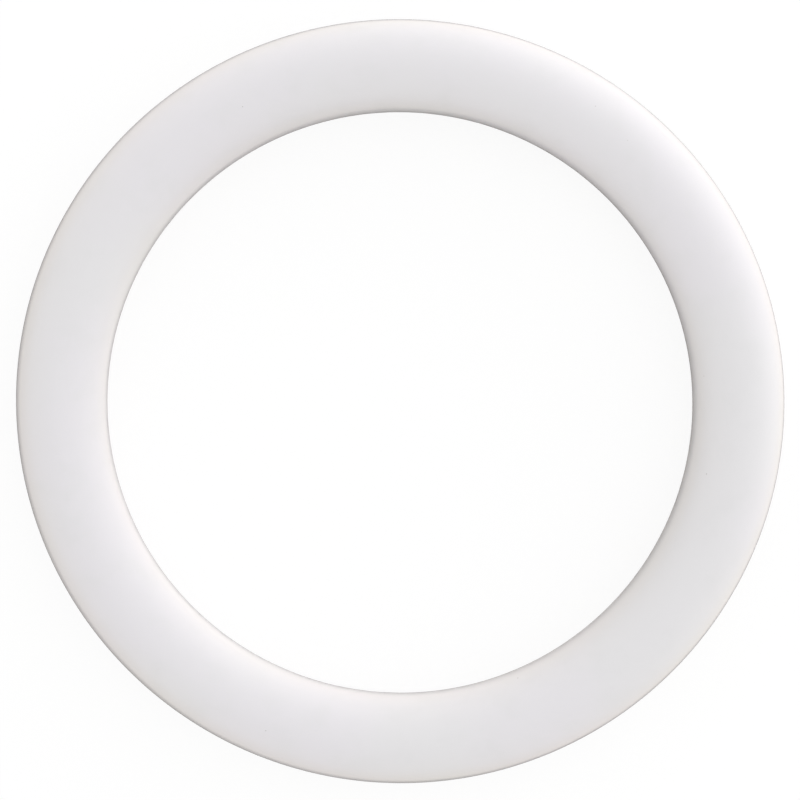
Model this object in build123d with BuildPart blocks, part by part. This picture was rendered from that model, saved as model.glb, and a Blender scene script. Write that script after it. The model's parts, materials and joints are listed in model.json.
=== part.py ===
from build123d import *
import os

# Gymnastics ring: a hollow ring of white ABS, moulded as two half shells that are welded
# together round a closed steel core.
#
# Frame: origin at the centre of the ring, +Z along the ring's axis. The front shell is the
# half above Z = 0 and the rear shell the half below it, so the parting plane is Z = 0. The
# ring lies flat on a circle of contact at Z = -SECTION_DIAMETER / 2.
#
# An "offset" is a distance from the centre line of the tube, which is the circle of
# RING_RADIUS in the parting plane. Sketches on Plane.XZ are drawn at that circle and
# revolved about Z.

# ---- driving dimensions, in millimetres ----
INNER_DIAMETER = 180.0  # clear width inside the ring
SECTION_DIAMETER = 28.0  # round grip section
WALL = 3.6  # thickness of both shells

SEAM_CUT = 0.40  # side of the square cut that leaves a fine V line along each seam
GROOVE_WIDTH = 1.40  # groove round the edges of the front shell
GROOVE_DEPTH = 1.80
TONGUE_WIDTH = 1.30  # tongue of the rear shell, which enters the groove
TONGUE_HEIGHT = 1.20  # the weld fills the groove above it
TONGUE_ROOT = 0.50  # how far the tongue's profile runs into the wall

RIB_COUNT = 24  # ribs in each shell
RIB_THICKNESS = 1.8
RIB_ROOT = 0.6  # how far a rib runs into the wall
RIB_GAP = 0.15  # each rib stops this far short of the parting plane

CORE_DIAMETER = 10.0  # steel bar
SADDLE_CLEARANCE = 0.05  # between the bar and the saddles cut in the ribs
CORE_END_GAP = 1.6  # between the two ends of the bent bar, where it is welded
CORE_END_CHAMFER = 2.0
WELD_CROWN = 0.6  # how far the weld stands proud of the bar
WELD_OVERLAP = 0.8  # how far its cap runs past the chamfers, each way
WELD_EDGE_DEPTH = 0.3  # how far the cap's profile dips into the bar at its edges

PEG_COUNT = 4  # locating pegs, which line the shells up for welding
PEG_RIB = 2  # the first peg stands on this rib, counted from 0
PEG_DIAMETER = 2.0
PEG_HEIGHT = 3.0
PEG_TIP_CHAMFER = 0.4
SOCKET_DIAMETER = 2.12
SOCKET_DEPTH = 3.4
BOSS_DIAMETER = 4.6
BOSS_HEIGHT = 9.2  # from the parting plane into the wall

# ---- worked out from them ----
TUBE_RADIUS = SECTION_DIAMETER / 2
RING_RADIUS = (INNER_DIAMETER + SECTION_DIAMETER) / 2
HOLLOW_RADIUS = TUBE_RADIUS - WALL
SEAM_OFFSET = (TUBE_RADIUS + HOLLOW_RADIUS) / 2  # middle of the wall
CORE_RADIUS = CORE_DIAMETER / 2
SADDLE_RADIUS = CORE_RADIUS + SADDLE_CLEARANCE
RIB_PITCH = 360 / RIB_COUNT
RIB_START = RIB_PITCH / 2  # so that the core's weld, at angle 0, lies between two ribs
PEG_START = RIB_START + PEG_RIB * RIB_PITCH
PEG_CIRCLE_RADIUS = RING_RADIUS + (SADDLE_RADIUS + HOLLOW_RADIUS) / 2
WELD_HALF_LENGTH = CORE_END_GAP / 2 + CORE_END_CHAMFER + WELD_OVERLAP

OUTER = 1
INNER = -1
FRONT = 1
REAR = -1


def draw_half_wall(half):
    """Half of the hollow section, in the sketch that is open, with its two seam cuts."""
    with Locations((RING_RADIUS, 0)):
        Circle(TUBE_RADIUS)
        Circle(HOLLOW_RADIUS, mode=Mode.SUBTRACT)
    with Locations((RING_RADIUS, -half * TUBE_RADIUS)):
        Rectangle(3 * TUBE_RADIUS, 2 * TUBE_RADIUS, mode=Mode.SUBTRACT)
    with Locations((RING_RADIUS + TUBE_RADIUS, 0), (RING_RADIUS - TUBE_RADIUS, 0)):
        Rectangle(SEAM_CUT, SEAM_CUT, rotation=45, mode=Mode.SUBTRACT)


def draw_seam_band(width, low, high, sides=(OUTER, INNER), mode=Mode.ADD):
    """Rectangles in the middle of the wall at each seam, from height low to height high."""
    for side in sides:
        with Locations((RING_RADIUS + side * SEAM_OFFSET, (low + high) / 2)):
            Rectangle(width, high - low, mode=mode)


def draw_at_pegs(radius):
    """A circle at the place of each locating peg, in the sketch that is open."""
    with PolarLocations(PEG_CIRCLE_RADIUS, PEG_COUNT, start_angle=PEG_START):
        Circle(radius)


# ---- one rib of the front shell, standing across the tube at angle 0 ----
with BuildPart() as rib:
    with BuildSketch(Plane.XZ):
        with Locations((RING_RADIUS, 0)):
            Circle(HOLLOW_RADIUS + RIB_ROOT)
            Circle(SADDLE_RADIUS, mode=Mode.SUBTRACT)
        with Locations((RING_RADIUS, RIB_GAP - TUBE_RADIUS)):
            Rectangle(3 * TUBE_RADIUS, 2 * TUBE_RADIUS, mode=Mode.SUBTRACT)
    extrude(amount=RIB_THICKNESS / 2, both=True)

# ---- front shell: wall with a groove round both edges, ribs, bosses with sockets ----
with BuildPart() as front_shell:
    with BuildSketch(Plane.XZ):
        draw_half_wall(FRONT)
        draw_seam_band(GROOVE_WIDTH, 0, GROOVE_DEPTH, mode=Mode.SUBTRACT)
    revolve(axis=Axis.Z)
    with PolarLocations(0, RIB_COUNT, start_angle=RIB_START):
        add(rib.part)
    with BuildSketch(Plane.XY.offset(RIB_GAP)):
        draw_at_pegs(BOSS_DIAMETER / 2)
    extrude(amount=BOSS_HEIGHT - RIB_GAP)
    with BuildSketch(Plane.XY.offset(RIB_GAP)):
        draw_at_pegs(SOCKET_DIAMETER / 2)
    extrude(amount=SOCKET_DEPTH, mode=Mode.SUBTRACT)

# ---- rear shell: wall with a tongue round both edges, ribs, bosses with pegs ----
with BuildPart() as rear_shell:
    with BuildSketch(Plane.XZ):
        draw_half_wall(REAR)
        draw_seam_band(TONGUE_WIDTH, -TONGUE_ROOT, TONGUE_HEIGHT)
    revolve(axis=Axis.Z)
    with PolarLocations(0, RIB_COUNT, start_angle=RIB_START):
        add(mirror(rib.part, about=Plane.XY, mode=Mode.PRIVATE))
    with BuildSketch(Plane.XY.offset(-RIB_GAP)):
        draw_at_pegs(BOSS_DIAMETER / 2)
    extrude(amount=RIB_GAP - BOSS_HEIGHT)
    with BuildSketch(Plane.XY.offset(-RIB_GAP)):
        draw_at_pegs(PEG_DIAMETER / 2)
    extrude(amount=PEG_HEIGHT)
    peg_tips = rear_shell.edges().filter_by(GeomType.CIRCLE).group_by(Axis.Z)[-1]
    chamfer(peg_tips, PEG_TIP_CHAMFER)

# ---- welds: the melted plastic that fills each groove above its tongue ----
with BuildPart() as outer_seam_weld:
    with BuildSketch(Plane.XZ):
        draw_seam_band(GROOVE_WIDTH, TONGUE_HEIGHT, GROOVE_DEPTH, sides=(OUTER,))
    revolve(axis=Axis.Z)

with BuildPart() as inner_seam_weld:
    with BuildSketch(Plane.XZ):
        draw_seam_band(GROOVE_WIDTH, TONGUE_HEIGHT, GROOVE_DEPTH, sides=(INNER,))
    revolve(axis=Axis.Z)

# ---- core: a round steel bar bent to the ring, its chamfered ends a weld gap apart ----
with BuildPart() as core_ring:
    with BuildSketch(Plane.XZ):
        with Locations((RING_RADIUS, 0)):
            Circle(CORE_RADIUS)
    revolve(axis=Axis.Z)
    with Locations((RING_RADIUS, 0, 0)):
        Box(2 * CORE_DIAMETER, CORE_END_GAP, 2 * CORE_DIAMETER, mode=Mode.SUBTRACT)
    chamfer(core_ring.faces().filter_by(GeomType.PLANE).edges(), CORE_END_CHAMFER)

# ---- core weld: fills the gap and the chamfers, with a crowned cap round the bar ----
with BuildPart() as core_weld:
    with BuildSketch(Plane.XY):
        with BuildLine(Plane.XY):
            edge = RING_RADIUS + CORE_RADIUS - WELD_EDGE_DEPTH
            crown = RING_RADIUS + CORE_RADIUS + WELD_CROWN
            cap = ThreePointArc((edge, -WELD_HALF_LENGTH), (crown, 0), (edge, WELD_HALF_LENGTH))
            Polyline(cap @ 1, (RING_RADIUS, WELD_HALF_LENGTH), (RING_RADIUS, -WELD_HALF_LENGTH), cap @ 0)
        make_face()
    revolve(axis=Axis((RING_RADIUS, 0, 0), (0, 1, 0)))
    add(core_ring.part, mode=Mode.SUBTRACT)

front_shell.part.label = "front_shell"
rear_shell.part.label = "rear_shell"
outer_seam_weld.part.label = "outer_seam_weld"
inner_seam_weld.part.label = "inner_seam_weld"
core_ring.part.label = "core_ring"
core_weld.part.label = "core_weld"

os.makedirs("parts", exist_ok=True)
for piece in (front_shell, rear_shell, outer_seam_weld, inner_seam_weld, core_ring, core_weld):
    export_step(piece.part, f"parts/{piece.part.label}.step")
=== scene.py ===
import json
import math

import bmesh
import bpy
from mathutils import Matrix, Vector, noise


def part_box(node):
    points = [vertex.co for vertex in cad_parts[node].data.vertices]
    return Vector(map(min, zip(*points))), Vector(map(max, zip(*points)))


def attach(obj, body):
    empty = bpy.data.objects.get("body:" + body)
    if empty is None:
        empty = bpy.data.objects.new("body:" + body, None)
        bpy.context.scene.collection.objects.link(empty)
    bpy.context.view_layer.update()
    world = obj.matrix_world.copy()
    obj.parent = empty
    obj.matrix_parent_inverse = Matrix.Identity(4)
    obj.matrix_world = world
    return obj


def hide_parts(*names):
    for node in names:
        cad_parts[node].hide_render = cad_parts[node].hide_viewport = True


# A gymnastics ring lying on a pale floor. The CAD frame gives the places and sizes. The two
# shells, the seam welds and the core's weld are built again here as finer meshes, each in the
# place of its CAD node. Lengths are in metres.
#
# A point of a section is (offset, height): its distance outwards from the circle that the
# tube's centre follows, and its height above the parting plane.

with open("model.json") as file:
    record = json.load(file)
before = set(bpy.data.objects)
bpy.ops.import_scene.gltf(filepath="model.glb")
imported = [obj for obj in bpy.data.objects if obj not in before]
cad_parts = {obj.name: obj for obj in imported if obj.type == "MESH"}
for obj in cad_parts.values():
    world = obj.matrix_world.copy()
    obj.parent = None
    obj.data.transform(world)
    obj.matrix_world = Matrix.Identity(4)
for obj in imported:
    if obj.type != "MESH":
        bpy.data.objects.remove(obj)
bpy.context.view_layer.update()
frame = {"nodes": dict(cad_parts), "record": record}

MM = 0.001
ROOT = "root"

# ---- sizes that the frame holds ----
mounts = {mount["name"]: mount for mount in frame["record"]["mounts"]}
RING_RADIUS = mounts["rest_circle"]["dims"]["r_mm"] * MM
TUBE_RADIUS = mounts["strap_seat"]["dims"]["r_mm"] * MM
FLOOR_HEIGHT = mounts["rest_circle"]["pos_m"][2]
TONGUE_TOP, GROOVE_TOP = (corner.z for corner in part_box("outer_seam_weld"))
CORE_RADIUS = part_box("core_ring")[1].z
WELD_HALF_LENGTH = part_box("core_weld")[1].y
WELD_CROWN_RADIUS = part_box("core_weld")[1].z

# ---- sizes of the shells, as in their CAD parts ----
WALL = 3.6 * MM
SEAM_DEPTH = 0.28 * MM  # of the V line, which is as wide on each side of the parting plane
SEAM_SHOULDER = 0.15 * MM  # radius that rounds each side of the V line
SEAM_SLOPE = math.radians(45)
GROOVE_WIDTH = 1.40 * MM
TONGUE_WIDTH = 1.30 * MM
RIB_COUNT = 24
RIB_THICKNESS = 1.8 * MM
RIB_ROOT = 0.6 * MM
RIB_GAP = 0.15 * MM
SADDLE_CLEARANCE = 0.05 * MM
PEG_COUNT = 4
PEG_RIB = 2
PEG_RADIUS = 1.0 * MM
PEG_TOP = 2.85 * MM
PEG_TIP_CHAMFER = 0.4 * MM
SOCKET_RADIUS = 1.06 * MM
SOCKET_TOP = 3.55 * MM
BOSS_RADIUS = 2.3 * MM
BOSS_TOP = 9.2 * MM
HOLLOW_RADIUS = TUBE_RADIUS - WALL
SEAM_OFFSET = TUBE_RADIUS - WALL / 2
SADDLE_RADIUS = CORE_RADIUS + SADDLE_CLEARANCE
PEG_OFFSET = (SADDLE_RADIUS + HOLLOW_RADIUS) / 2

# ---- fineness of the meshes ----
RING_STEPS = 480
FLASH_STEPS = 1440
TUBE_STEPS = 72
HOLLOW_STEPS = 32
SHOULDER_STEPS = 4
ROUND_STEPS = 24
SHARP_ANGLE = math.radians(32)
MERGE_DISTANCE = 1e-7

FRONT, REAR = 1, -1
OUTER, INNER = 1, -1


# ---------------------------------------------------------------- outlines and meshes
def arc(centre, radius, start, end, steps):
    """Points of an arc from angle start to angle end, both included."""
    angles = [start + (end - start) * i / steps for i in range(steps + 1)]
    return [(centre[0] + radius * math.cos(a), centre[1] + radius * math.sin(a)) for a in angles]


def flipped(outline, across=1, up=1):
    return [(across * offset, up * height) for offset, height in outline]


def shoulder_outline():
    """One side of the V line: from its bottom, up its slope and round onto the tube."""
    bottom = TUBE_RADIUS - SEAM_DEPTH
    inner_radius = TUBE_RADIUS - SEAM_SHOULDER
    reach = math.cos(SEAM_SLOPE) * bottom - SEAM_SHOULDER
    tangent = math.acos(reach / inner_radius) - SEAM_SLOPE
    centre = (inner_radius * math.cos(tangent), inner_radius * math.sin(tangent))
    rounding = arc(centre, SEAM_SHOULDER, -SEAM_SLOPE, tangent, SHOULDER_STEPS)
    return [(bottom, 0)] + rounding, tangent


def seam_band(width, height):
    """The corners of a groove or tongue in the middle of the outer wall, from its outer side."""
    near, far = SEAM_OFFSET + width / 2, SEAM_OFFSET - width / 2
    return [(near, 0), (near, height), (far, height), (far, 0)]


def shell_outline(band):
    """The section of a shell above the parting plane, with this band in both edges."""
    shoulder, tangent = shoulder_outline()
    skin = arc((0, 0), TUBE_RADIUS, tangent, math.pi - tangent, TUBE_STEPS)[1:-1]
    hollow = arc((0, 0), HOLLOW_RADIUS, math.pi, 0, HOLLOW_STEPS)
    inner_edge = list(reversed(shoulder)) + band
    return shoulder + skin + flipped(inner_edge, across=-1) + hollow + list(reversed(band))


def make_object(name, vertices, faces, smooth=True):
    """A mesh object with its normals outwards and its corners sharp."""
    mesh = bpy.data.meshes.new(name)
    mesh.from_pydata(vertices, [], faces)
    shape = bmesh.new()
    shape.from_mesh(mesh)
    bmesh.ops.remove_doubles(shape, verts=shape.verts, dist=MERGE_DISTANCE)
    bmesh.ops.recalc_face_normals(shape, faces=shape.faces)
    shape.to_mesh(mesh)
    shape.free()
    piece = bpy.data.objects.new(name, mesh)
    bpy.context.scene.collection.objects.link(piece)
    if smooth:
        finish_shading(mesh)
    return piece


def finish_shading(mesh):
    mesh.shade_smooth()
    mesh.set_sharp_from_angle(angle=SHARP_ANGLE)


def turned(name, outline_at, steps):
    """A closed ring: the outline that outline_at(angle) gives, turned about the ring's axis."""
    vertices, faces, count = [], [], 0
    for step in range(steps):
        angle = 2 * math.pi * step / steps
        outline = outline_at(angle)
        count = len(outline)
        for offset, height in outline:
            radius = RING_RADIUS + offset
            vertices.append((radius * math.cos(angle), radius * math.sin(angle), height))
    for step in range(steps):
        here, there = step * count, (step + 1) % steps * count
        for i in range(count):
            after = (i + 1) % count
            faces.append((here + i, there + i, there + after, here + after))
    return make_object(name, vertices, faces)


def prism(outline, low, high):
    """Vertices and faces of an outline in X and Y, carried from height low to height high."""
    count = len(outline)
    vertices = [(x, y, z) for z in (low, high) for x, y in outline]
    sides = [(i, (i + 1) % count, count + (i + 1) % count, count + i) for i in range(count)]
    ends = [tuple(range(count)), tuple(range(2 * count - 1, count - 1, -1))]
    return vertices, sides + ends


def solids_at(name, solid, places):
    """One object with a copy of the solid at each place, which is a matrix."""
    vertices, faces = [], []
    for place in places:
        first = len(vertices)
        vertices += [place @ Vector(point) for point in solid[0]]
        faces += [tuple(first + i for i in face) for face in solid[1]]
    return make_object(name, vertices, faces, smooth=False)


def combine(piece, tool, operation):
    """Adds the tool to the piece or cuts it out, and deletes the tool."""
    cut = piece.modifiers.new("combine", "BOOLEAN")
    cut.object, cut.operation, cut.solver = tool, operation, "EXACT"
    graph = bpy.context.evaluated_depsgraph_get()
    result = bpy.data.meshes.new_from_object(piece.evaluated_get(graph))
    piece.modifiers.clear()
    old, piece.data = piece.data, result
    result.name = piece.name
    bpy.data.meshes.remove(old)
    bpy.data.objects.remove(tool)


# ---------------------------------------------------------------- the shells
def rib_solid(half):
    """One rib in its own plane, which stands across the tube at angle 0."""
    rim, seat = HOLLOW_RADIUS + RIB_ROOT, SADDLE_RADIUS
    low_rim, low_seat = math.asin(RIB_GAP / rim), math.asin(RIB_GAP / seat)
    outline = arc((0, 0), rim, low_rim, math.pi - low_rim, HOLLOW_STEPS)
    outline += arc((0, 0), seat, math.pi - low_seat, low_seat, ROUND_STEPS)
    flat, faces = prism(outline, -RIB_THICKNESS / 2, RIB_THICKNESS / 2)
    return [(RING_RADIUS + offset, along, half * height) for offset, height, along in flat], faces


def round_solid(rings, half):
    """A post on the peg circle at angle 0, from its rings, which are (radius, height)."""
    vertices, faces = [], []
    for radius, height in rings:
        circle = arc((RING_RADIUS + PEG_OFFSET, 0), radius, 0, 2 * math.pi, ROUND_STEPS)[:-1]
        vertices += [(x, y, half * height) for x, y in circle]
    for level in range(len(rings) - 1):
        for i in range(ROUND_STEPS):
            after = (i + 1) % ROUND_STEPS
            low, high = level * ROUND_STEPS, (level + 1) * ROUND_STEPS
            faces.append((low + i, low + after, high + after, high + i))
    top = (len(rings) - 1) * ROUND_STEPS
    faces += [tuple(range(ROUND_STEPS)), tuple(range(top, top + ROUND_STEPS))]
    return vertices, faces


def around(count, first):
    """A matrix for each of count places evenly round the ring, the first at that angle."""
    return [Matrix.Rotation(first + 2 * math.pi * i / count, 4, "Z") for i in range(count)]


def make_shell(name, half, band):
    """Half of the ring: the wall from its section, then ribs, bosses, and pegs or sockets."""
    outline = flipped(shell_outline(band), up=half)
    shell = turned(name, lambda angle: outline, RING_STEPS)
    pitch = 2 * math.pi / RIB_COUNT
    rib_places = around(RIB_COUNT, pitch / 2)
    peg_places = around(PEG_COUNT, pitch * (PEG_RIB + 0.5))
    boss = [(BOSS_RADIUS, RIB_GAP), (BOSS_RADIUS, BOSS_TOP)]
    combine(shell, solids_at("ribs", rib_solid(half), rib_places), "UNION")
    combine(shell, solids_at("bosses", round_solid(boss, half), peg_places), "UNION")
    if half == FRONT:
        socket = [(SOCKET_RADIUS, -RIB_GAP), (SOCKET_RADIUS, SOCKET_TOP)]
        combine(shell, solids_at("sockets", round_solid(socket, half), peg_places), "DIFFERENCE")
    else:
        tip = PEG_RADIUS - PEG_TIP_CHAMFER
        peg = [(PEG_RADIUS, BOSS_TOP / 2), (PEG_RADIUS, PEG_TIP_CHAMFER - PEG_TOP), (tip, -PEG_TOP)]
        combine(shell, solids_at("pegs", round_solid(peg, half), peg_places), "UNION")
    finish_shading(shell.data)
    return shell


# ---------------------------------------------------------------- the welds
FLASH_RADIUS = 0.13 * MM  # of the bead of flash at the bottom of the V line
FLASH_VARIATION = 0.45  # share of that radius by which it varies
FLASH_LUMPS = 90.0  # lumps in a metre
FLASH_OCTAVES = 3  # of the noise that varies it
FLASH_FALLOFF = 0.8
FLASH_LACUNARITY = 2.2
FLASH_BEAD_STEPS = 8
FILM = 0.01 * MM  # half the thickness of the melt between the two parting faces
POOL_SAG = 0.05 * MM


def seam_weld_outline(side, angle):
    """The melt above the tongue, its film down one side of it, and the flash outside."""
    near, far = SEAM_OFFSET + GROOVE_WIDTH / 2, SEAM_OFFSET - GROOVE_WIDTH / 2
    tongue = SEAM_OFFSET + TONGUE_WIDTH / 2
    bottom = TUBE_RADIUS - SEAM_DEPTH
    around_ring = Vector((math.cos(angle), math.sin(angle), side)) * RING_RADIUS * FLASH_LUMPS
    lump = noise.fractal(around_ring, FLASH_FALLOFF, FLASH_LACUNARITY, FLASH_OCTAVES)
    flash = FLASH_RADIUS * (1 + FLASH_VARIATION * lump)
    start = math.asin(FILM / flash)
    bead = arc((bottom, 0), flash, -start - math.pi / 2, start + math.pi / 2, FLASH_BEAD_STEPS)
    outline = [(tongue, -FILM)] + bead + [(near, FILM), (near, GROOVE_TOP)]
    outline += [(SEAM_OFFSET, GROOVE_TOP - POOL_SAG), (far, GROOVE_TOP)]
    outline += [(far, TONGUE_TOP), (tongue, TONGUE_TOP)]
    return flipped(outline, across=side)


def make_seam_weld(name, side):
    return turned(name, lambda angle: seam_weld_outline(side, angle), FLASH_STEPS)


WELD_ROOT_RADIUS = 3.0 * MM  # of the bar's chamfered ends
WELD_ROOT_GAP = 0.8 * MM  # from the middle of the weld to each end
WELD_CHAMFER_END = 2.8 * MM
WELD_EDGE_DEPTH = 0.3 * MM
WELD_RIPPLES = 26
WELD_RIPPLE_HEIGHT = 0.09 * MM
WELD_RIPPLE_LAG = 2.4  # phase by which a ripple's ends trail its middle
WELD_STEPS_AROUND = 260
WELD_STEPS_ACROSS = 28


def core_weld_section(turn):
    """From the bar's axis out to the weld's cap and back, as (distance along the bar, radius)."""
    sag = WELD_CROWN_RADIUS - (CORE_RADIUS - WELD_EDGE_DEPTH) - WELD_RIPPLE_HEIGHT
    root = [(-WELD_ROOT_GAP, 0), (-WELD_ROOT_GAP, WELD_ROOT_RADIUS), (-WELD_CHAMFER_END, CORE_RADIUS)]
    cap = []
    for i in range(WELD_STEPS_ACROSS + 1):
        share = 2 * i / WELD_STEPS_ACROSS - 1
        phase = WELD_RIPPLES * turn + WELD_RIPPLE_LAG * share * share
        ripple = (1 - share * share) * WELD_RIPPLE_HEIGHT * math.sin(phase)
        crown = CORE_RADIUS - WELD_EDGE_DEPTH + sag * (1 - share * share)
        cap.append((share * WELD_HALF_LENGTH, crown + ripple))
    return root + cap + [(-along, radius) for along, radius in reversed(root)]


def make_core_weld(name):
    """The closed bead round the joint in the bar, with the ripples of a weld that went round."""
    vertices, faces, count = [], [], 0
    for step in range(WELD_STEPS_AROUND):
        turn = 2 * math.pi * step / WELD_STEPS_AROUND
        section = core_weld_section(turn)
        count = len(section)
        for along, radius in section:
            vertices.append((RING_RADIUS + radius * math.cos(turn), along, radius * math.sin(turn)))
    for step in range(WELD_STEPS_AROUND):
        here, there = step * count, (step + 1) % WELD_STEPS_AROUND * count
        for i in range(1, count - 2):
            faces.append((here + i, there + i, there + i + 1, here + i + 1))
        faces.append((here, there + 1, here + 1))
        faces.append((here + count - 1, here + count - 2, there + count - 2))
    return make_object(name, vertices, faces)


# ---------------------------------------------------------------- materials
WHITE = (1, 1, 1, 1)
PLASTIC = (0.770, 0.751, 0.777, 1)
PLASTIC_GREYER = (0.765, 0.755, 0.766, 1)
PLASTIC_CLOUDED = (0.735, 0.727, 0.735, 1)
PLASTIC_IOR = 1.52
GRIME = (0.47, 0.45, 0.43, 1)
GRIME_EDGE, GRIME_CORE = 0.45 * MM, 0.05 * MM  # heights off the parting plane
DUST = (0.40, 0.38, 0.37, 1)
SPECK_SPACING = 12 * MM
SPECK_RADIUS = 0.25 * MM
SPECK_CORE = 0.6  # share of the radius within which a speck is at full strength
SPECK_STRENGTH = 0.6
CROWN_DEPTH = 1.2 * MM  # of the part of a shell's top that gets rubbed
COAT = {"Coat_Weight": 0.7, "Coat_Roughness": 0.12, "Coat_IOR": 1.5}
MELT = (0.70, 0.69, 0.68, 1)
MELT_SCORCHED = (0.56, 0.54, 0.52, 1)
STEEL_LINE = (0.50, 0.49, 0.48, 1)
STEEL = (0.62, 0.61, 0.60, 1)
STEEL_SCALE = (0.30, 0.29, 0.29, 1)
STEEL_STRAW = (0.42, 0.31, 0.20, 1)
STEEL_BLUE = (0.13, 0.16, 0.27, 1)
STRAW_FROM, STRAW_TO = 16 * MM, 7 * MM  # distances from the weld at which a tint starts and is full
BLUE_FROM, BLUE_TO = 9 * MM, 4 * MM
WELDED_SIDE = 20 * MM  # beyond this X only the side of the ring with the weld is left
DRAWING_STRETCH = 0.04  # scale along the bar of the noise that makes its lines
WELD_METAL = (0.42, 0.40, 0.38, 1)
WELD_METAL_TINTED = (0.27, 0.25, 0.27, 1)
SOOT = (0.09, 0.08, 0.08, 1)


class Graph:
    """Short names for the shader nodes that the materials here are made of."""

    def __init__(self, name):
        self.material = bpy.data.materials.new(name)
        self.material.use_nodes = True
        self.tree = self.material.node_tree
        self.shader = self.tree.nodes["Principled BSDF"]
        self.place = self.tree.nodes.new("ShaderNodeTexCoord").outputs["Object"]

    def node(self, kind, **inputs):
        made = self.tree.nodes.new(kind)
        for name, value in inputs.items():
            self.feed(made.inputs[name.replace("_", " ")], value)
        return made

    def feed(self, socket, value):
        if isinstance(value, bpy.types.NodeSocket):
            self.tree.links.new(value, socket)
        else:
            socket.default_value = value

    def noise(self, size, detail=2.0, roughness=0.5, place=None):
        """Noise from 0 to 1 with lumps of this size, in metres."""
        shape = {"Scale": 1 / size, "Detail": detail, "Roughness": roughness}
        return self.node("ShaderNodeTexNoise", Vector=place or self.place, **shape).outputs["Fac"]

    def specks(self, spacing, radius):
        """0, and up to SPECK_STRENGTH in round spots that lie about that far apart in space."""
        cells = self.node("ShaderNodeTexVoronoi", Vector=self.place, Scale=1 / spacing)
        edge = radius / spacing
        return self.ramp(cells.outputs["Distance"], edge, SPECK_CORE * edge, 0.0, SPECK_STRENGTH)

    def math(self, operation, first, second=0.0):
        made = self.tree.nodes.new("ShaderNodeMath")
        made.operation = operation
        self.feed(made.inputs[0], first)
        self.feed(made.inputs[1], second)
        return made.outputs["Value"]

    def ramp(self, value, start, end, low=0.0, high=1.0):
        """Goes smoothly from low to high as value goes from start to end."""
        made = self.tree.nodes.new("ShaderNodeMapRange")
        made.interpolation_type = "SMOOTHSTEP"
        for socket, given in zip(made.inputs, (value, start, end, low, high)):
            self.feed(socket, given)
        return made.outputs["Result"]

    def mix(self, share, first, second):
        """A colour between two others."""
        made = self.tree.nodes.new("ShaderNodeMix")
        made.data_type = "RGBA"
        self.feed(made.inputs["Factor"], share)
        self.feed(made.inputs["A"], first)
        self.feed(made.inputs["B"], second)
        return made.outputs["Result"]

    def axes(self):
        split = self.node("ShaderNodeSeparateXYZ", Vector=self.place)
        return [split.outputs[axis] for axis in "XYZ"]

    def ring_offset(self):
        """How far the place is outwards from the circle of the tube's centre."""
        x, y, _ = self.axes()
        square = self.math("ADD", self.math("MULTIPLY", x, x), self.math("MULTIPLY", y, y))
        return self.math("SUBTRACT", self.math("SQRT", square), RING_RADIUS)

    def bump(self, height, rise, under=None):
        """A bump as high as rise, in metres, where height goes from 0 to 1."""
        made = self.node("ShaderNodeBump", Height=height, Distance=rise, Strength=1.0)
        if under is not None:
            self.feed(made.inputs["Normal"], under)
        return made.outputs["Normal"]

    def finish(self, colour, roughness, normal, **uniform):
        self.feed(self.shader.inputs["Base Color"], colour)
        self.feed(self.shader.inputs["Roughness"], roughness)
        self.feed(self.shader.inputs["Normal"], normal)
        self.feed(self.shader.inputs["Coat Normal"], normal)
        for name, value in uniform.items():
            self.shader.inputs[name.replace("_", " ")].default_value = value
        return self.material


def shell_plastic():
    """White ABS with a fine moulded texture, faintly uneven in tint, with a few dust specks."""
    g = Graph("white_abs")
    colour = g.mix(g.ramp(g.noise(60 * MM), 0.35, 0.65), PLASTIC, PLASTIC_GREYER)
    colour = g.mix(g.ramp(g.noise(9 * MM, 4.0), 0.45, 0.80, 0, 0.5), colour, PLASTIC_CLOUDED)
    height = g.math("ABSOLUTE", g.axes()[2])
    outwards = g.math("ABSOLUTE", g.ring_offset())
    near_plane = g.ramp(height, GRIME_EDGE, GRIME_CORE)
    near_skin = g.ramp(outwards, TUBE_RADIUS - 2 * SEAM_DEPTH, TUBE_RADIUS - SEAM_DEPTH)
    patchy = g.ramp(g.noise(4 * MM, 3.0), 0.35, 0.7, 0.25, 0.8)
    grime = g.math("MULTIPLY", g.math("MULTIPLY", near_plane, near_skin), patchy)
    colour = g.mix(grime, colour, GRIME)
    colour = g.mix(g.specks(SPECK_SPACING, SPECK_RADIUS), colour, DUST)
    crown = g.ramp(height, TUBE_RADIUS - CROWN_DEPTH, TUBE_RADIUS)
    rubbed = g.math("MULTIPLY", crown, g.ramp(g.noise(6 * MM, 6.0, 0.7), 0.5, 0.62))
    roughness = g.ramp(g.noise(18 * MM, 4.0), 0.3, 0.7, 0.58, 0.66)
    roughness = g.math("ADD", roughness, g.math("MULTIPLY", rubbed, 0.10))
    normal = g.bump(g.noise(5.5 * MM, 1.0), 0.012 * MM)
    normal = g.bump(g.noise(0.45 * MM, 2.0), 0.006 * MM, normal)
    return g.finish(colour, roughness, normal, IOR=PLASTIC_IOR, **COAT)


def weld_plastic():
    """The same plastic melted and set: glossier, greyer and lumpy."""
    g = Graph("remelted_abs")
    colour = g.mix(g.ramp(g.noise(3 * MM, 3.0), 0.35, 0.7), MELT, MELT_SCORCHED)
    roughness = g.ramp(g.noise(1.5 * MM, 2.0), 0.3, 0.7, 0.26, 0.5)
    normal = g.bump(g.noise(0.7 * MM, 3.0), 0.03 * MM)
    return g.finish(colour, roughness, normal, IOR=PLASTIC_IOR)


def along_bar(g, stretch):
    """Coordinates stretched along the core bar, so that noise becomes drawing lines."""
    x, y, z = g.axes()
    angle = g.math("ARCTAN2", y, x)
    join = g.node("ShaderNodeCombineXYZ", X=g.math("MULTIPLY", angle, RING_RADIUS * stretch))
    g.feed(join.inputs["Y"], g.ring_offset())
    g.feed(join.inputs["Z"], z)
    return join.outputs["Vector"]


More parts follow.
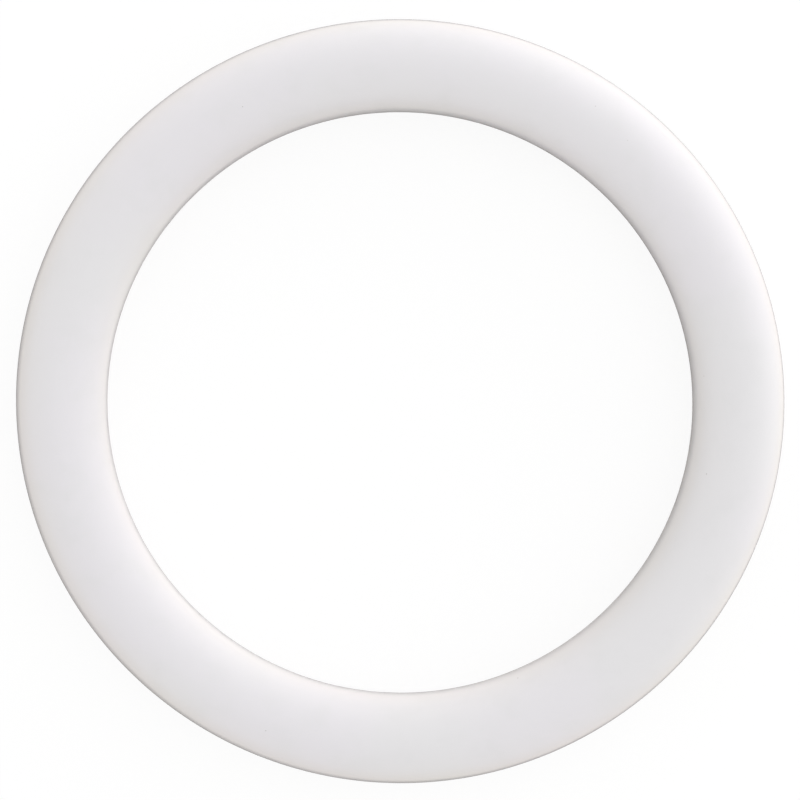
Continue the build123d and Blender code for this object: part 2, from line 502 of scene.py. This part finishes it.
def core_steel():
    """Cold-drawn bar: fine lines along it, patches of thin grey scale, blued beside the weld."""
    g = Graph("drawn_steel")
    lines = g.noise(0.6 * MM, 4.0, 0.6, along_bar(g, DRAWING_STRETCH))
    patches = g.ramp(g.noise(14 * MM, 5.0, 0.65), 0.42, 0.66)
    colour = g.mix(g.ramp(lines, 0.3, 0.7), STEEL_LINE, STEEL)
    colour = g.mix(g.math("MULTIPLY", patches, 0.6), colour, STEEL_SCALE)
    x, y, _ = g.axes()
    from_weld = g.math("ABSOLUTE", y)
    welded_side = g.ramp(x, 0.0, WELDED_SIDE)
    straw = g.math("MULTIPLY", welded_side, g.ramp(from_weld, STRAW_FROM, STRAW_TO))
    colour = g.mix(g.math("MULTIPLY", straw, 0.7), colour, STEEL_STRAW)
    blue = g.math("MULTIPLY", welded_side, g.ramp(from_weld, BLUE_FROM, BLUE_TO))
    colour = g.mix(g.math("MULTIPLY", blue, 0.8), colour, STEEL_BLUE)
    roughness = g.ramp(lines, 0.2, 0.8, 0.26, 0.42)
    roughness = g.math("ADD", roughness, g.math("MULTIPLY", patches, 0.2))
    normal = g.bump(lines, 0.01 * MM)
    return g.finish(colour, roughness, normal, Metallic=1.0)


def weld_steel():
    """Weld metal with scattered soot and heat tints."""
    g = Graph("weld_steel")
    tint = g.ramp(g.noise(4 * MM, 3.0), 0.35, 0.65)
    colour = g.mix(tint, WELD_METAL, WELD_METAL_TINTED)
    soot = g.ramp(g.noise(2 * MM, 5.0, 0.7), 0.55, 0.7)
    colour = g.mix(soot, colour, SOOT)
    roughness = g.math("ADD", 0.34, g.math("MULTIPLY", soot, 0.35))
    normal = g.bump(g.noise(0.8 * MM, 4.0), 0.05 * MM)
    return g.finish(colour, roughness, normal, Metallic=1.0)


def floor_material():
    """Faintly uneven, and so bright by itself that the ring's shadow on it is very faint."""
    g = Graph("pale_floor")
    darker = FLOOR_TONE - FLOOR_TONE_VARIATION
    colour = g.mix(g.noise(0.5, 3.0), (FLOOR_TONE,) * 3 + (1,), (darker,) * 3 + (1,))
    normal = g.bump(g.noise(2 * MM, 3.0), 0.02 * MM)
    g.shader.inputs["Emission Color"].default_value = WHITE
    return g.finish(colour, 0.9, normal, Emission_Strength=FLOOR_GLOW)


def dress(piece, material):
    piece.data.materials.clear()
    piece.data.materials.append(material)


# ---------------------------------------------------------------- the pieces in their places
def place_piece(piece, node, material):
    dress(piece, material)
    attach(piece, ROOT)
    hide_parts(node)


def make_ring():
    groove = seam_band(GROOVE_WIDTH, GROOVE_TOP)
    tongue = seam_band(TONGUE_WIDTH, -TONGUE_TOP)
    plastic, melt = shell_plastic(), weld_plastic()
    front = make_shell("front_half_shell", FRONT, groove)
    place_piece(front, "front_shell", plastic)
    rear = make_shell("rear_half_shell", REAR, tongue)
    place_piece(rear, "rear_shell", plastic)
    outer_weld = make_seam_weld("outer_seam_flash", OUTER)
    place_piece(outer_weld, "outer_seam_weld", melt)
    inner_weld = make_seam_weld("inner_seam_flash", INNER)
    place_piece(inner_weld, "inner_seam_weld", melt)
    bar_weld = make_core_weld("core_weld_bead")
    place_piece(bar_weld, "core_weld", weld_steel())
    dress(frame["nodes"]["core_ring"], core_steel())


# ---------------------------------------------------------------- floor, light and camera
FLOOR_REACH = 12.0
FLOOR_TONE = 0.16
FLOOR_TONE_VARIATION = 0.01
FLOOR_GLOW = 0.84
SKY_STRENGTH = 0.948
SKY_TILT = math.radians(15)  # of the sky's own "up" towards the key light
SKY_LOW_COLOUR = (1.0, 0.90, 0.74, 1)
SKY_WHITE, SKY_WARM = 0.0, -0.30  # heights at which the sky is white and warm
SKY_LIT, SKY_DARK = -0.30, -0.60  # and those at which it is at full strength and dark
GLOSS_LIT, GLOSS_DARK = -0.68, -0.86  # the same in reflections, where only the rims see the dark
KEY_STRENGTH = 2.45
KEY_AZIMUTH = math.radians(45)
KEY_ELEVATION = math.radians(-34)
KEY_SPREAD = math.radians(120)

CAMERA_DISTANCE = 0.8629
CAMERA_AZIMUTH = math.radians(77.68)
CAMERA_ELEVATION = math.radians(83.12)
CAMERA_AIM = (0.0003, 0.0020, 0.0)
CAMERA_LENS = 126.3
CAMERA_SENSOR = 36.0


def direction(azimuth, elevation):
    """The way from the ring towards an azimuth, counted from +X, and an elevation."""
    level = math.cos(elevation)
    return Vector((level * math.cos(azimuth), level * math.sin(azimuth), math.sin(elevation)))


def make_floor():
    """The floor takes the ring's shadow, but neither lights nor shades the ring."""
    corners = [(x, y, FLOOR_HEIGHT) for x, y in ((-1, -1), (1, -1), (1, 1), (-1, 1))]
    corners = [(x * FLOOR_REACH, y * FLOOR_REACH, z) for x, y, z in corners]
    floor = make_object("floor", corners, [(0, 1, 2, 3)])
    floor.visible_diffuse = floor.visible_glossy = floor.visible_shadow = False
    dress(floor, floor_material())


def make_sky():
    """Even white light from all round, which turns warm and then fades out below the horizon.

    The height of a place in the sky is 1 at its top, which leans towards the key light, 0 round
    its horizon and -1 at its bottom. In reflections the sky fades out lower down than it does for
    the rest of the light.
    """
    world = bpy.data.worlds.new("studio")
    world.use_nodes = True
    tree = world.node_tree
    place = tree.nodes.new("ShaderNodeTexCoord")
    height = tree.nodes.new("ShaderNodeVectorMath")
    height.operation = "DOT_PRODUCT"
    height.inputs[1].default_value = direction(KEY_AZIMUTH, math.radians(90) - SKY_TILT)
    tree.links.new(place.outputs["Generated"], height.inputs[0])

    def rise(start, end, high):
        """Goes smoothly from 0 to high as the height of the sky goes from start to end."""
        made = tree.nodes.new("ShaderNodeMapRange")
        made.interpolation_type = "SMOOTHSTEP"
        tree.links.new(height.outputs["Value"], made.inputs["Value"])
        for name, value in (("From Min", start), ("From Max", end), ("To Max", high)):
            made.inputs[name].default_value = value
        return made.outputs["Result"]

    tint = tree.nodes.new("ShaderNodeMix")
    tint.data_type = "RGBA"
    tint.inputs["A"].default_value = SKY_LOW_COLOUR
    tint.inputs["B"].default_value = WHITE
    background = tree.nodes["Background"]
    tree.links.new(rise(SKY_WARM, SKY_WHITE, 1.0), tint.inputs["Factor"])
    tree.links.new(tint.outputs["Result"], background.inputs["Color"])
    chosen = tree.nodes.new("ShaderNodeMix")
    ray = tree.nodes.new("ShaderNodeLightPath")
    tree.links.new(ray.outputs["Is Glossy Ray"], chosen.inputs["Factor"])
    tree.links.new(rise(SKY_DARK, SKY_LIT, SKY_STRENGTH), chosen.inputs["A"])
    tree.links.new(rise(GLOSS_DARK, GLOSS_LIT, SKY_STRENGTH), chosen.inputs["B"])
    tree.links.new(chosen.outputs["Result"], background.inputs["Strength"])
    bpy.context.scene.world = world


def make_key_light():
    """A wide soft light from under the horizon. The floor lets it through and gloss leaves it out."""
    light = bpy.data.lights.new("key", "SUN")
    light.energy = KEY_STRENGTH
    light.angle = KEY_SPREAD
    key = bpy.data.objects.new("key", light)
    key.rotation_mode = "QUATERNION"
    key.visible_glossy = False
    key.rotation_quaternion = direction(KEY_AZIMUTH, KEY_ELEVATION).to_track_quat("Z", "Y")
    bpy.context.scene.collection.objects.link(key)


def make_camera():
    """Almost over the ring, with +Y up in the picture."""
    lens = bpy.data.cameras.new("camera")
    lens.lens = CAMERA_LENS
    lens.sensor_width = CAMERA_SENSOR
    camera = bpy.data.objects.new("camera", lens)
    place = direction(CAMERA_AZIMUTH, CAMERA_ELEVATION) * CAMERA_DISTANCE
    back = (place - Vector(CAMERA_AIM)).normalized()
    right = Vector((0, 1, 0)).cross(back).normalized()
    up = back.cross(right)
    turn = Matrix((right, up, back)).transposed().to_4x4()
    camera.matrix_world = Matrix.Translation(place) @ turn
    bpy.context.scene.collection.objects.link(camera)
    bpy.context.scene.camera = camera


make_ring()
make_floor()
make_sky()
make_key_light()
make_camera()
bpy.context.scene.view_settings.view_transform = "Standard"
